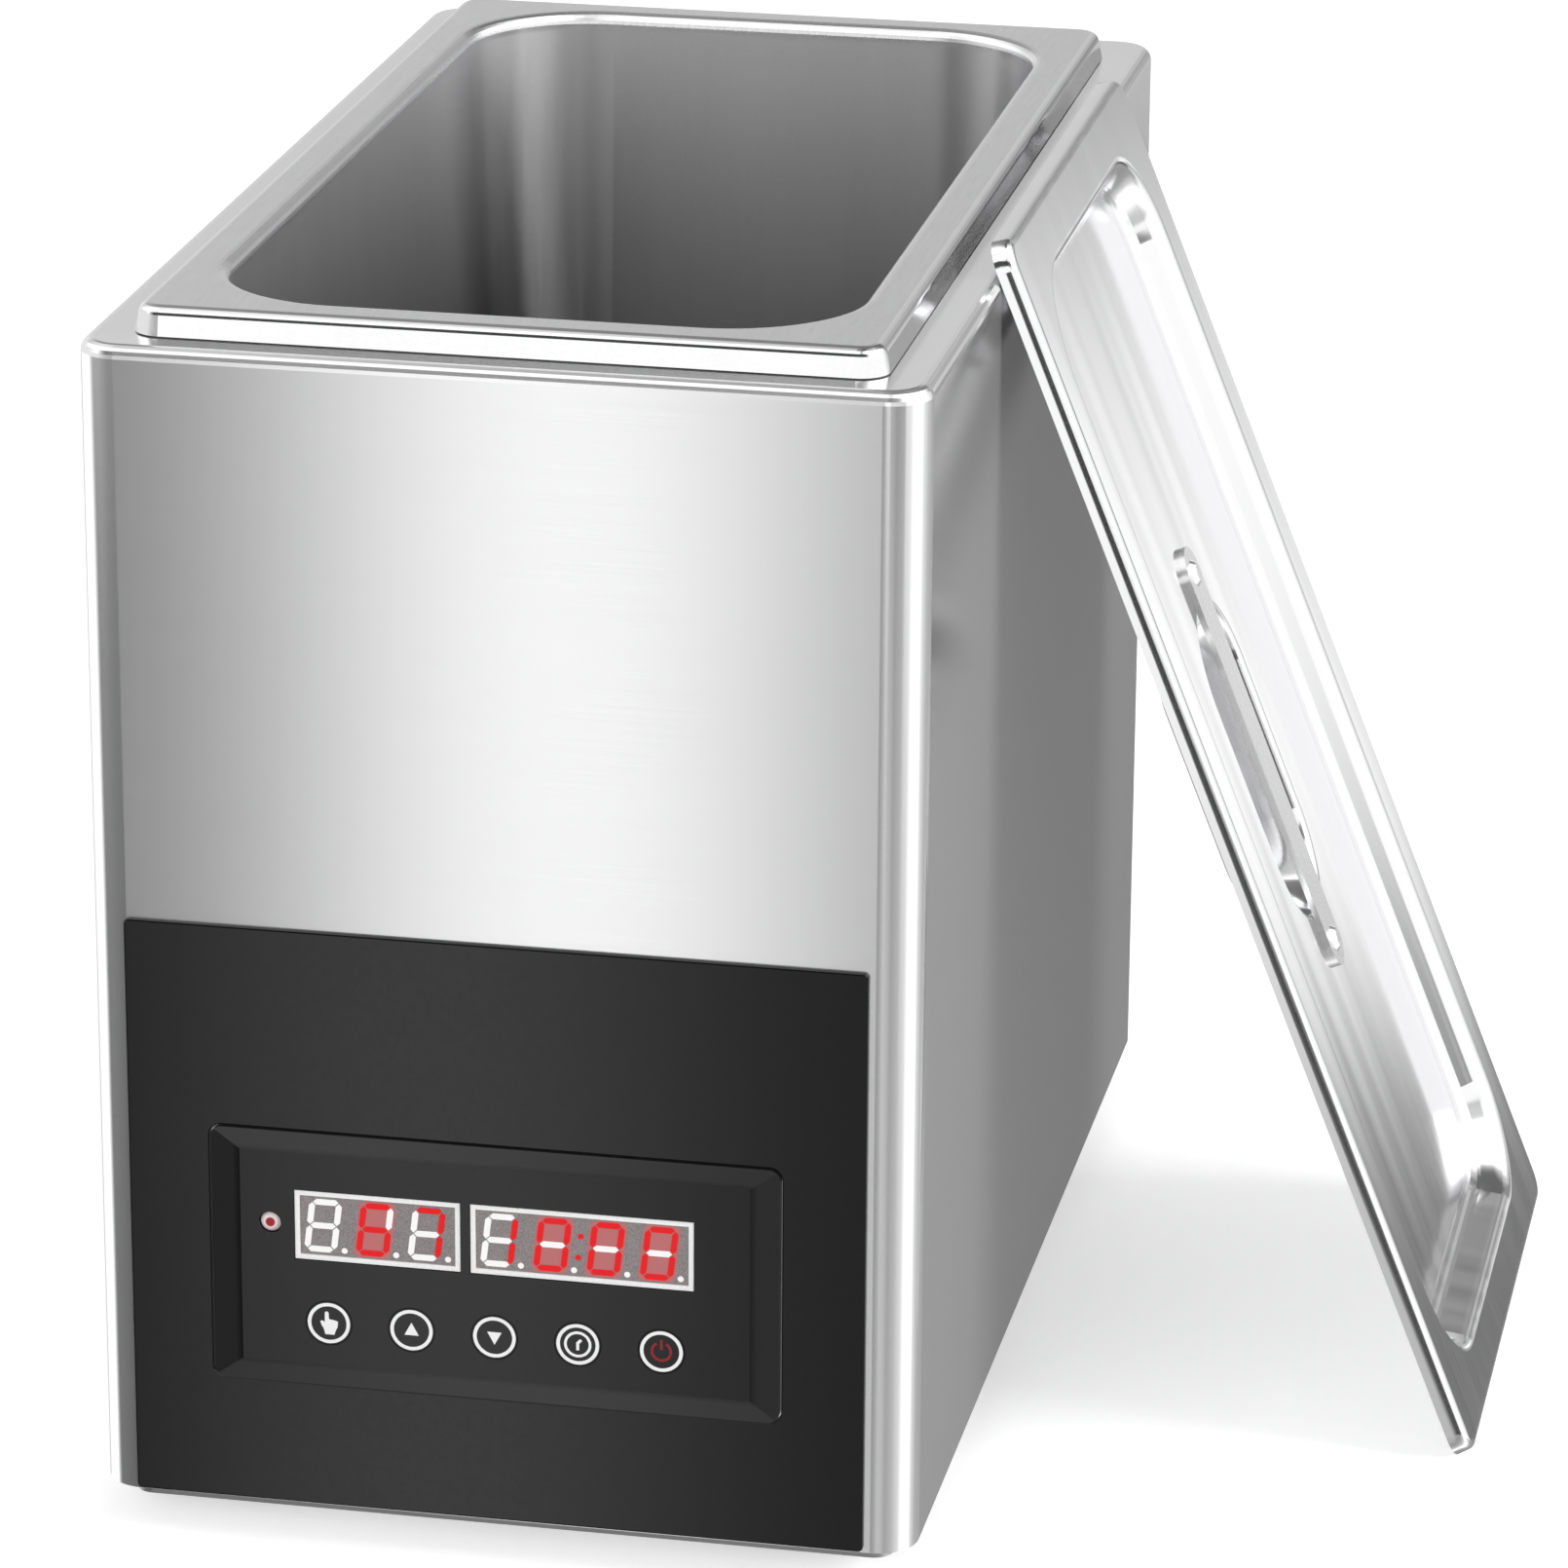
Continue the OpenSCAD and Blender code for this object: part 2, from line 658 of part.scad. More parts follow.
module at_pillars() {
    for (x = [-1, 1], z = [-1, 1]) translate([x * pillar_x, z * pillar_z]) children();
}

module controller_bezel() color("black") difference() {
    union() {
        on_front(front_y) rounded_plate(bezel_w, bezel_h, bezel_r, bezel_t);
        on_front(skirt_end_y)
            rounded_wall(skirt_w, skirt_h, skirt_r, skirt_t, skirt_end_y - front_y);
        on_front(board_y) linear_extrude(board_y - front_y) at_pillars() circle(d = 6);
    }
    on_front(front_y + 1) linear_extrude(10) {
        display_window(display_x3, display_w3, 0.3);
        display_window(display_x4, display_w4, 0.3);
        translate([led_x, display_z]) circle(d = led_d + 0.4);
        at_keys() circle(d = key_d + 2 * key_gap);
    }
    on_front(board_y + 1) linear_extrude(7) at_pillars() circle(d = 2.5);
}

module controller_housing() color("dimgray") difference() {
    on_front(skirt_end_y + housing_l) rounded_plate(skirt_w, skirt_h, skirt_r, housing_l);
    on_front(skirt_end_y + housing_l - skirt_t)
        rounded_plate(skirt_w - 2 * skirt_t, skirt_h - 2 * skirt_t, skirt_r - skirt_t, housing_l);
    on_front(skirt_end_y + housing_l + 1) linear_extrude(4) for (x = [-3 : 3])
        translate([x * 12, 0]) square([5, 20], center = true);
}

// One slanted seven-segment figure with its point, centred on its place
module digit(h) {
    w = h * 0.5;
    t = h * 0.13;
    gap = t * 0.12;
    half = h / 2 - t / 2;
    multmatrix([[1, 0.12, 0, 0], [0, 1, 0, 0], [0, 0, 1, 0], [0, 0, 0, 1]]) {
        for (y = [-half, 0, half]) translate([0, y]) segment(w - t - 2 * gap, t);
        for (x = [-1, 1], y = [-1, 1])
            translate([x * (w - t) / 2, y * half / 2]) rotate(90) segment(half - 2 * gap, t);
    }
    translate([w / 2 + t * 0.9, -half]) circle(d = t, $fn = 8);
}

module segment(l, t) {
    polygon([[-l / 2, 0], [-l / 2 + t / 2, t / 2], [l / 2 - t / 2, t / 2],
        [l / 2, 0], [l / 2 - t / 2, -t / 2], [-l / 2 + t / 2, -t / 2]]);
}

// A display module: framed face with its figures let in
module display(x, w, digits) {
    depth = board_y - bezel_front_y - display_sunk;
    face_w = w - 2 * display_frame;
    pitch = face_w / digits;
    difference() {
        on_front(board_y) translate([x, display_z, 0]) linear_extrude(depth)
            square([w, display_h], center = true);
        on_front(board_y - depth + face_sunk) translate([x, display_z, 0]) linear_extrude(5)
            square([face_w, display_h - 2 * display_frame], center = true);
        on_front(board_y - depth + face_sunk + segment_sunk) translate([x, display_z, 0])
            linear_extrude(5) for (i = [0 : digits - 1])
                translate([(i - (digits - 1) / 2) * pitch - 0.4, 0]) digit(display_h - 5.2);
    }
}

module temperature_display() color("whitesmoke") display(display_x3, display_w3, 3);

module time_display() color("whitesmoke") display(display_x4, display_w4, 4);

module heating_light() color("red") on_front(board_y) translate([led_x, display_z, 0]) {
    cylinder(d = led_d + 0.8, h = 1);
    cylinder(d = led_d, h = board_y - front_y + 0.6);
    translate([0, 0, board_y - front_y + 0.6]) cylinder(d1 = led_d, d2 = led_d - 2, h = 0.8);
}

module key(i) color("black") on_front(bezel_front_y + key_cap_t)
    translate([(i - 2) * key_pitch, key_z, 0]) union() {
        stem_l = board_y - bezel_front_y - key_cap_t - switch_h - key_travel - 0.1;
        cylinder(d = key_d, h = key_cap_t);
        translate([0, 0, -stem_l]) cylinder(d = key_stem_d, h = stem_l + 0.5);
    }

module key_switches() color("dimgray") on_front(board_y) at_keys() union() {
    translate([-3, -3, 0]) cube([6, 6, switch_h - 1]);
    cylinder(d = 3.5, h = switch_h);
}

module control_board() color("darkgreen") difference() {
    on_front(board_y + board_t) linear_extrude(board_t) square([board_w, board_h], center = true);
    on_front(board_y + 5) linear_extrude(10) at_pillars() circle(d = 3);
    on_front(board_y + 5) linear_extrude(10) for (x = [-0.5, 0.5])
        translate([led_x + x * 2.54, display_z]) circle(d = 1);
}

module board_screws() color("silver") translate([panel_x, board_y + board_t, bezel_cz])
    rotate([90, 0, 0]) at_pillars() screw(board_t + 5, 2.4, 5, 1.6);

// ================= electronics bay =================

module at_power_pillars() {
    for (x = [-1, 1], y = [-1, 1])
        translate([power_board_pos[0] + x * (power_board_size[0] / 2 - 5),
            power_board_pos[1] + y * (power_board_size[1] / 2 - 5), 0]) children();
}

module power_board() color("darkgreen") difference() {
    translate([power_board_pos[0], power_board_pos[1], power_board_z]) linear_extrude(board_t)
        square(power_board_size, center = true);
    at_power_pillars() translate([0, 0, power_board_z - 1]) cylinder(d = 3.4, h = 5);
}

module board_pillars() color("ivory") at_power_pillars() {
    translate([0, 0, bay_z]) cylinder(d = 7, h = power_pillar_h);
    translate([0, 0, bay_z + power_pillar_h - 1]) cylinder(d = 3, h = board_t + 1.5);
    translate([0, 0, power_board_z + board_t]) cylinder(d1 = 5, d2 = 3, h = 1.5);
}

module relay() color("royalblue")
    translate([power_board_pos[0] + 18, power_board_pos[1] - 14, power_board_z + board_t])
        cube([28, 24, 22]);

module transformer() color("gold")
    translate([power_board_pos[0] - 42, power_board_pos[1] - 18, power_board_z + board_t]) {
        cube([36, 32, 20]);
        translate([6, -3, 2]) cube([24, 38, 16]);
    }

module terminal_block() color("ivory") difference() {
    l = 44;
    translate([terminal_pos[0] - l / 2, terminal_pos[1] - 10, bay_z]) union() {
        cube([l, 20, 10]);
        for (i = [0 : 3]) translate([i * (l - 2) / 3, 0, 0]) cube([2, 20, 16]);
    }
    for (i = [-1 : 1], y = [-5, 5])
        translate([terminal_pos[0] + i * 14, terminal_pos[1] + y, bay_z + 5]) cylinder(d = 6, h = 10);
}

module earth_stud() color("gold") translate([earth_pos[0], earth_pos[1], bay_z]) {
    cylinder(d = 10, h = 1.5);
    cylinder(d = 5, h = 18);
}

module earth_nuts() color("silver") translate([earth_pos[0], earth_pos[1], bay_z + 1.5]) {
    difference() {
        cylinder(d = 11, h = 1);
        translate([0, 0, -1]) cylinder(d = 5.1, h = 3);
    }
    translate([0, 0, 6]) hex_nut(8, 5.1, 4);
    translate([0, 0, 1]) hex_nut(8, 5.1, 4);
}

// ================= cable gland =================

// Drawn with z straight out of the back wall
module at_gland() {
    translate([gland_x, back_y, gland_z]) rotate([-90, 0, 0]) children();
}

module cable_gland() color("black") at_gland() difference() {
    union() {
        cylinder(d = gland_flat / cos(30), h = gland_hex_h, $fn = 6);
        translate([0, 0, -gland_tail_l]) cylinder(d = gland_thread, h = gland_tail_l + 1);
        cylinder(d = gland_thread, h = gland_hex_h + gland_stub_l);
    }
    translate([0, 0, -20]) cylinder(d = cable_bore, h = 60);
    translate([0, 0, gland_neck_z0 - 20]) cylinder(d = cable_bore + 1, h = 20);
    translate([0, 0, gland_seal_z0]) cylinder(d = gland_seal_d, h = 20);
}

module gland_cap() color("black") at_gland() translate([0, 0, gland_hex_h + slip]) difference() {
    bore = gland_thread + 0.1;
    union() {
        cylinder(d = gland_flat / cos(30), h = gland_cap_l - 6, $fn = 6);
        cylinder(d = gland_flat - 1, h = gland_cap_l - 4);
        translate([0, 0, gland_cap_l - 4]) cylinder(d1 = gland_flat - 1, d2 = cable_bore + 5, h = 4);
    }
    translate([0, 0, -1]) cylinder(d = bore, h = gland_seal_z1 - gland_hex_h - slip + 1);
    cylinder(d = cable_bore, h = gland_cap_l + 1);
}

module gland_seal() color("dimgray") at_gland() translate([0, 0, gland_seal_z0]) difference() {
    cylinder(d = gland_seal_d - bolt_gap, h = gland_seal_z1 - gland_seal_z0);
    translate([0, 0, -1]) cylinder(d = cable_bore, h = 20);
}

module gland_locknut() color("black") at_gland() translate([0, 0, -sheet - 4])
    hex_nut(gland_flat, gland_thread + 0.1, 4);

// ================= the pieces =================

body_shell();
base_plate();
foot(-1, -1);  // foot_front_left
foot(1, -1);  // foot_front_right
foot(-1, 1);  // foot_back_left
foot(1, 1);  // foot_back_right
foot_screws();
foot_nuts();
base_screws();
base_screw_nuts();
water_tank();
insulation();
heating_element();
heater_seals();
heater_nuts();
temperature_probe();
probe_seal();
probe_nut();
limit_thermostat();
thermostat_clip();
pan();
lid();
lid_handle();
handle_rivets();
front_panel();
controller_bezel();
controller_housing();
temperature_display();
time_display();
heating_light();
key(0);  // key_set
key(1);  // key_up
key(2);  // key_down
key(3);  // key_timer
key(4);  // key_power
key_switches();
control_board();
board_screws();
power_board();
board_pillars();
relay();
transformer();
terminal_block();
earth_stud();
earth_nuts();
cable_gland();
gland_cap();
gland_seal();
gland_locknut();
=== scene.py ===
"""Looks for the commercial egg boiler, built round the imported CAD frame.

Lengths are in metres in the frame's axes (+X right, +Y back, +Z up). The details on the front
are in millimetres instead, with their x and z from the middle of the controller's bezel.
"""
import math

import bmesh
import bpy
from mathutils import Matrix, Vector


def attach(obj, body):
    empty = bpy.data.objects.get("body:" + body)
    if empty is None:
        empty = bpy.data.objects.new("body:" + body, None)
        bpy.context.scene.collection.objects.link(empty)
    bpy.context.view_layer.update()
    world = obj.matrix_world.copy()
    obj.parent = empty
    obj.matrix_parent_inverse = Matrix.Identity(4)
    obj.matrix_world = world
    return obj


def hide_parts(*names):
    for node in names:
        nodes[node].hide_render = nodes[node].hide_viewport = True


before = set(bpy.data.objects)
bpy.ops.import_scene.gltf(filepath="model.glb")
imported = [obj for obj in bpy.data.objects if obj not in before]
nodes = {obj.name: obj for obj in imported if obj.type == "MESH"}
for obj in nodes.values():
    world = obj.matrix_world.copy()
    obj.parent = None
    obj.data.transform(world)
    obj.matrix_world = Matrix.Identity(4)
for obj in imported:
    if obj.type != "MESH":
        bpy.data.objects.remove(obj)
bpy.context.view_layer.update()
scene = bpy.context.scene
MM = 0.001

# ---------------------------------------------------------------- node graphs

NOISE_ROUGHNESS = 0.55
# A noise mostly stays within a quarter of its middle, 0.5
NOISE_MIDDLE = 0.5
NOISE_SWING = 4
# A face counts as level where its normal's z is above this
LEVEL_FACE = 0.7


class Graph:
    """A small builder for a material or world made of nodes."""

    def __init__(self, owner, output):
        owner.use_nodes = True
        self.owner = owner
        self.tree = owner.node_tree
        self.tree.nodes.clear()
        self.out = self.tree.nodes.new(output)

    def add(self, kind, inputs=None, **settings):
        """A new node, with its inputs by name or number."""
        made = self.tree.nodes.new(kind)
        for name, value in settings.items():
            setattr(made, name, value)
        for name, value in (inputs or {}).items():
            self.put(made.inputs[name], value)
        return made

    def put(self, socket, value):
        """Link a socket to a node or another socket, or set its own value."""
        if isinstance(value, bpy.types.Node):
            value = next(o for o in value.outputs if o.enabled)
        if isinstance(value, bpy.types.NodeSocket):
            self.tree.links.new(value, socket)
        else:
            socket.default_value = value

    def math(self, how, a, b=0.0, c=0.0):
        return self.add("ShaderNodeMath", {0: a, 1: b, 2: c}, operation=how)

    def distance(self, a, b):
        """Length of the line whose two legs are a and b."""
        squares = self.math("ADD", self.math("MULTIPLY", a, a), self.math("MULTIPLY", b, b))
        return self.math("SQRT", squares)

    def off(self, value, centre):
        """How far value lies from centre, to either side."""
        return self.math("ABSOLUTE", self.math("SUBTRACT", value, centre))

    def place(self):
        """Object coordinates, which are the frame's own: outputs X, Y and Z."""
        coords = self.add("ShaderNodeTexCoord").outputs["Object"]
        return self.add("ShaderNodeSeparateXYZ", {"Vector": coords}).outputs

    def object_place(self, scale=(1, 1, 1), offset=(0, 0, 0)):
        """Object coordinates, stretched and moved."""
        coords = self.add("ShaderNodeTexCoord").outputs["Object"]
        return self.add("ShaderNodeMapping", {"Vector": coords, "Scale": scale, "Location": offset})

    def noise(self, scale, stretch=(1, 1, 1), detail=3.0, offset=(0, 0, 0)):
        return self.add("ShaderNodeTexNoise",
                        {"Vector": self.object_place(stretch, offset), "Scale": scale,
                         "Detail": detail, "Roughness": NOISE_ROUGHNESS}).outputs["Fac"]

    def ramp(self, fac, stops):
        """A grey by a number, from (place, value) pairs in rising order."""
        made = self.add("ShaderNodeValToRGB", {"Fac": fac})
        points = made.color_ramp.elements
        while len(points) > 1:
            points.remove(points[-1])
        for i, (at, value) in enumerate(stops):
            point = points[0] if i == 0 else points.new(at)
            point.position = at
            point.color = (value, value, value, 1)
        return made.outputs["Color"]

    def remap(self, fac, low, high, to_low=0.0, to_high=1.0, smooth=False):
        return self.add("ShaderNodeMapRange",
                        {"Value": fac, "From Min": low, "From Max": high,
                         "To Min": to_low, "To Max": to_high},
                        interpolation_type="SMOOTHSTEP" if smooth else "LINEAR").outputs["Result"]

    def inside(self, value, centre, half, soft):
        """1 where value lies within half of centre, 0 outside, with a soft edge."""
        return self.remap(self.off(value, centre), half + soft, half - soft)

    def blend(self, fac, a, b, how="MIX"):
        made = self.add("ShaderNodeMix", data_type="RGBA", blend_type=how)
        self.put(made.inputs[0], fac)
        for at, value in ((6, a), (7, b)):
            self.put(made.inputs[at], (*value, 1) if isinstance(value, tuple) else value)
        return made.outputs[2]

    def bump(self, height, strength, distance, normal=None):
        made = self.add("ShaderNodeBump",
                        {"Height": height, "Strength": strength, "Distance": distance})
        if normal is not None:
            self.put(made.inputs["Normal"], normal)
        return made.outputs["Normal"]

    def grey(self, tone, blue):
        """A grey from a number that varies, with its blue part multiplied."""
        return self.add("ShaderNodeCombineColor",
                        {0: tone, 1: tone, 2: self.math("MULTIPLY", tone, blue)}).outputs["Color"]

    def vary(self, noise, middle, spread):
        """middle, give or take spread, by a noise."""
        swing = self.math("SUBTRACT", noise, NOISE_MIDDLE)
        return self.math("MULTIPLY_ADD", swing, spread * NOISE_SWING, middle)

    def lean(self, bow):
        """Normal of a sheet that falls away towards +X, or None."""
        return self.bump(self.math("MULTIPLY", self.place()["X"], -1.0), 1.0, bow) if bow else None

    def rounded(self, below, reach, slope):
        """Normal of a lip that is rounded over its first reach millimetres below the rim."""
        left = self.math("MAXIMUM", self.math("MULTIPLY_ADD", below, -1 / MM, reach), 0.0)
        drop = self.math("MULTIPLY", self.math("MULTIPLY", left, left), -slope / 2 / reach)
        return self.bump(drop, 1.0, MM)

    def upright(self):
        """Tangent up the walls, and across on level faces."""
        normal = self.add("ShaderNodeNewGeometry").outputs["Normal"]
        up = self.add("ShaderNodeSeparateXYZ", {"Vector": normal}).outputs["Z"]
        level = self.math("GREATER_THAN", self.math("ABSOLUTE", up), LEVEL_FACE)
        made = self.add("ShaderNodeMix", data_type="VECTOR")
        self.put(made.inputs[0], level)
        made.inputs[4].default_value = (0, 0, 1)
        made.inputs[5].default_value = (1, 0, 0)
        return made.outputs[1]

    def principled(self, **inputs):
        """The surface shader; names use _ for a space, colours are linear triples."""
        made = self.add("ShaderNodeBsdfPrincipled")
        for name, value in inputs.items():
            value = (*value, 1) if isinstance(value, tuple) and len(value) == 3 else value
            self.put(made.inputs[name.replace("_", " ")], value)
        self.put(self.out.inputs["Surface"], made.outputs["BSDF"])


def material(name):
    return Graph(bpy.data.materials.new(name), "ShaderNodeOutputMaterial")


def linear(*srgb):
    """Linear colour from one or three sRGB values between 0 and 1."""
    if len(srgb) == 1:
        srgb = srgb * 3
    return tuple(v / 12.92 if v <= 0.04045 else ((v + 0.055) / 1.055) ** 2.4 for v in srgb)


# ---------------------------------------------------------------- steel

# The pan's rim: where its flat ends at the sides and at the ends, its middle, and its top
RIM_SIDE_X = 0.0848
RIM_END_Y = 0.1593
PAN_MIDDLE_Y = -0.004
RIM_TOP_Z = 0.301
# The pan's inner finish starts between these heights, and painted shade darkens its walls from the
# next height down to the last
MOUTH_TOP_Z = 0.2985
MOUTH_END_Z = 0.2965
PAINTED_SHADE_FROM_Z = 0.297
PAINTED_SHADE_TO_Z = 0.19
# The lid stands at 68 degrees to the counter; its rim's plane is this far from the origin
LID_LEAN = math.radians(68 - 90)
LID_PLANE = 0.20633


def brushed_body(name):
    """Satin sheet of the body: grain along the walls, seen as upright soft reflections."""
    g = material(name)
    grain = g.noise(1.0, (12, 12, 9000), detail=2.0)
    cloud = g.noise(7.0, offset=(3, 1, 7))
    tone = g.vary(grain, g.vary(cloud, 0.86, 0.01), 0.008)
    g.principled(Base_Color=g.grey(tone, 1.005), Metallic=0.85, Anisotropic=0.8,
                 Roughness=g.vary(grain, 0.15, 0.02), Tangent=g.upright(),
                 Normal=g.bump(grain, 0.02, 0.0001))
    return g.owner


def pressed_pan(name):
    """The pan: satin inside and on the rim's flat, polished on the lip and at its bends, with painted
    shade deeper inside.
    """
    g = material(name)
    x, y, z = g.place()
    past_side = g.math("SUBTRACT", g.math("ABSOLUTE", x), RIM_SIDE_X)
    past_end = g.math("SUBTRACT", g.off(y, PAN_MIDDLE_Y), RIM_END_Y)
    lip = g.remap(g.math("MAXIMUM", past_side, past_end), -0.0003, 0.0003)
    deep = g.remap(z, MOUTH_TOP_Z, MOUTH_END_Z)
    inner = g.math("MULTIPLY", deep, g.math("SUBTRACT", 1.0, lip))
    grain = g.noise(1.0, (900, 60, 60), detail=2.0)
    draw = g.noise(1.0, (90, 90, 6), offset=(2, 5, 1))
    fleck = g.noise(2200.0, detail=1.0)
    # Painted shade: the inner walls' colour darkens with depth, where less light gets in
    shade = g.math("MULTIPLY", inner, g.remap(z, PAINTED_SHADE_FROM_Z, PAINTED_SHADE_TO_Z, 0.14, 0.54))
    tone = g.vary(fleck, g.vary(draw, g.math("SUBTRACT", 0.84, shade), 0.015), 0.02)
    satin = g.remap(inner, 0, 1, 0.26, 0.32)
    rough = g.math("MULTIPLY_ADD", lip, -0.19, g.vary(grain, satin, 0.02))
    edge = g.rounded(g.math("SUBTRACT", RIM_TOP_Z, z), 2.5, 0.3)
    g.principled(Base_Color=g.grey(tone, 1.01), Metallic=0.93, Roughness=rough,
                 Anisotropic=g.remap(inner, 0, 1, 0.0, 0.9), Tangent=g.upright(),
                 Normal=g.bump(fleck, 0.06, 0.00008, edge))
    return g.owner


def polished_lid(name):
    """The lid: bright, with faint drawing streaks along its length."""
    g = material(name)
    rise, run = math.cos(LID_LEAN), math.sin(LID_LEAN)
    wide = g.noise(1.0, (1.5, 45, 1.5), detail=1.0, offset=(4, 2, 6))
    fine = g.noise(1.0, (6, 900, 6), detail=2.0)
    tone = g.vary(fine, g.vary(wide, 0.86, 0.02), 0.012)
    tangent = g.add("ShaderNodeCombineXYZ", {0: run, 1: 0.0, 2: rise})
    here = g.place()
    sunk = g.math("MULTIPLY_ADD", here["X"], -rise,
                  g.math("MULTIPLY_ADD", here["Z"], run, LID_PLANE))
    skin = g.bump(fine, 0.03, 0.00005, g.rounded(sunk, 3.5, 0.36))
    g.principled(Base_Color=g.grey(tone, 1.01), Metallic=0.95, Anisotropic=0.5, Tangent=tangent,
                 Roughness=g.vary(fine, 0.12, 0.02), Normal=g.bump(wide, 0.7, 0.0004, skin))
    return g.owner


def rolled(name, shade, rough, stretch=(60, 60, 60), metal=1.0, spread=0.04, tint=1.0):
    """Plain steel sheet or turned parts."""
    g = material(name)
    grain = g.noise(1.0, stretch)
    cloud = g.noise(30.0, offset=(3, 1, 7))
    tone = g.vary(grain, g.vary(cloud, shade, spread), 0.02)
    g.principled(Base_Color=g.grey(tone, tint), Metallic=metal,
                 Roughness=g.vary(grain, rough, rough * 0.15), Normal=g.bump(grain, 0.08, 0.0001))
    return g.owner


# ---------------------------------------------------------------- other materials

# How steeply the black front seems to fall away towards +X, which turns what it mirrors
BOW = 0.0096


def moulded(name, colour, rough, metal=0.0, bump=0.15, spread=0.12, bow=0.0):
    """Moulded, cast or painted surface with a fine skin and a slight colour variation."""
    g = material(name)
    skin = g.noise(900.0, detail=2.0)
    cloud = g.noise(25.0, offset=(5, 2, 9))
    level = g.remap(cloud, 0.3, 0.7, 1 - spread, 1 + spread)
    tinted = g.add("ShaderNodeVectorMath", {0: colour, "Scale": level}, operation="SCALE")
    g.principled(Base_Color=tinted.outputs[0], Metallic=metal,
                 Roughness=g.vary(skin, rough, rough * 0.1),
                 Normal=g.bump(skin, bump, 0.0001, g.lean(bow)))
    return g.owner


def wool(name):
    """Pressed mineral wool: tangled fibres and soft lumps."""
    g = material(name)
    fibre = g.noise(700.0, (1, 1, 0.15), detail=4.0)
    lump = g.noise(60.0)
    colour = g.blend(g.remap(fibre, 0.35, 0.65), linear(0.62, 0.55, 0.36), linear(0.82, 0.76, 0.58))
    g.principled(Base_Color=colour, Roughness=0.95,
                 Normal=g.bump(g.math("ADD", fibre, lump), 0.6, 0.0008))
    return g.owner


def board(name):
    """Circuit board: green mask over a grid of copper tracks."""
    g = material(name)
    brick = g.add("ShaderNodeTexBrick", {"Vector": g.object_place(), "Scale": 260.0,
                                         "Mortar Size": 0.03, "Brick Width": 1.3, "Row Height": 0.9,
                                         "Color1": (*linear(0.05, 0.28, 0.12), 1),
                                         "Color2": (*linear(0.04, 0.24, 0.1), 1),
                                         "Mortar": (*linear(0.16, 0.42, 0.2), 1)})
    g.principled(Base_Color=brick.outputs["Color"], Roughness=0.32,
                 Normal=g.bump(brick.outputs["Fac"], 0.2, 0.0001))
    return g.owner


def lit(name, colour, strength, base):
    """A figure lit from behind, a little uneven."""
    g = material(name)
    speck = g.noise(1500.0, detail=1.0)
    g.principled(Base_Color=base, Roughness=0.4, Emission_Color=colour,
                 Emission_Strength=g.vary(speck, strength, strength * 0.04))
    return g.owner


def speckled(name, dark, light, rough):
    """Printed or moulded face with a fine speckle."""
    g = material(name)
    speck = g.noise(2600.0, detail=2.0)
    g.principled(Base_Color=g.blend(g.remap(speck, 0.3, 0.7), dark, light),
                 Roughness=g.vary(speck, rough, 0.02), Normal=g.bump(speck, 0.05, 0.00005))
    return g.owner


def light_body(name, centre):
    """The heating light: a pale ring round a red lens."""
    g = material(name)
    here = g.place()
    out = g.distance(g.math("SUBTRACT", here["X"], centre[0]),
                     g.math("SUBTRACT", here["Z"], centre[1]))
    core = g.remap(out, 0.0014, 0.0010)
    g.principled(Base_Color=g.blend(core, linear(0.95, 0.9, 0.9), linear(0.62, 0.12, 0.16)),
                 Roughness=g.remap(core, 0, 1, 0.45, 0.2),
                 Normal=g.bump(g.noise(900.0), 0.05, 0.0001))
    return g.owner


def bezel_film(name, centre, size):
    """Gloss black film on the bezel: its border slopes back to the panel, with a painted highlight on
    that slope.
    """
    g = material(name)
    here = g.place()
    in_x = g.math("SUBTRACT", size[0] / 2, g.off(here["X"], centre[0]))
    in_z = g.math("SUBTRACT", size[1] / 2, g.off(here["Z"], centre[1]))
    # The border is 7 mm wide at the sides, and 5 mm above and below
    rise = g.math("MINIMUM", g.remap(in_x, 0.0002, 0.0072), g.remap(in_z, 0.0002, 0.0052))
    skin = g.noise(1500.0, detail=2.0)
    cloud = g.noise(30.0, offset=(5, 2, 9))
    # Painted highlight: the sloping border's colour is lighter than the middle, on top of the light
    # its real slope catches
    tone = g.vary(cloud, g.remap(rise, 0.75, 1.0, 0.016, 0.0045), 0.0006)
    flat = g.bump(skin, 0.01, 0.00005, g.lean(BOW))
    g.principled(Base_Color=g.grey(tone, 1.04), Roughness=g.vary(skin, 0.13, 0.01),
                 Normal=g.bump(rise, 0.6, 0.0004, flat))
    return g.owner


body_steel = brushed_body("body_steel")
pan_steel = pressed_pan("pan_steel")
lid_steel = polished_lid("lid_steel")
strap_steel = rolled("strap_steel", 0.86, 0.28, (20, 900, 20), metal=0.9, spread=0.02)
base_steel = rolled("base_steel", 0.5, 0.4)
tank_steel = rolled("tank_steel", 0.72, 0.35, (20, 20, 900))
zinc = rolled("zinc_plate", 0.7, 0.3, (400, 400, 400), tint=1.03)
sheath = rolled("heater_sheath", 0.3, 0.45, (200, 900, 200), spread=0.1)
black_panel = moulded("panel_black", (0.0045, 0.0045, 0.0048), 0.12, bump=0.01, spread=0.06, bow=BOW)
black_key = moulded("key_black", (0.004, 0.004, 0.0043), 0.12, bump=0.01, spread=0.05, bow=BOW)
rubber = moulded("foot_rubber", linear(0.12), 0.75, bump=0.3)
nylon = moulded("nylon_black", linear(0.13), 0.5, bump=0.3)
silicone = moulded("silicone_seal", linear(0.45, 0.2, 0.14), 0.6)
ceramic = moulded("ceramic_body", linear(0.86, 0.83, 0.76), 0.45)
grey_plastic = moulded("housing_grey", linear(0.3, 0.31, 0.32), 0.5)
blue_plastic = moulded("relay_blue", linear(0.1, 0.28, 0.62), 0.35)
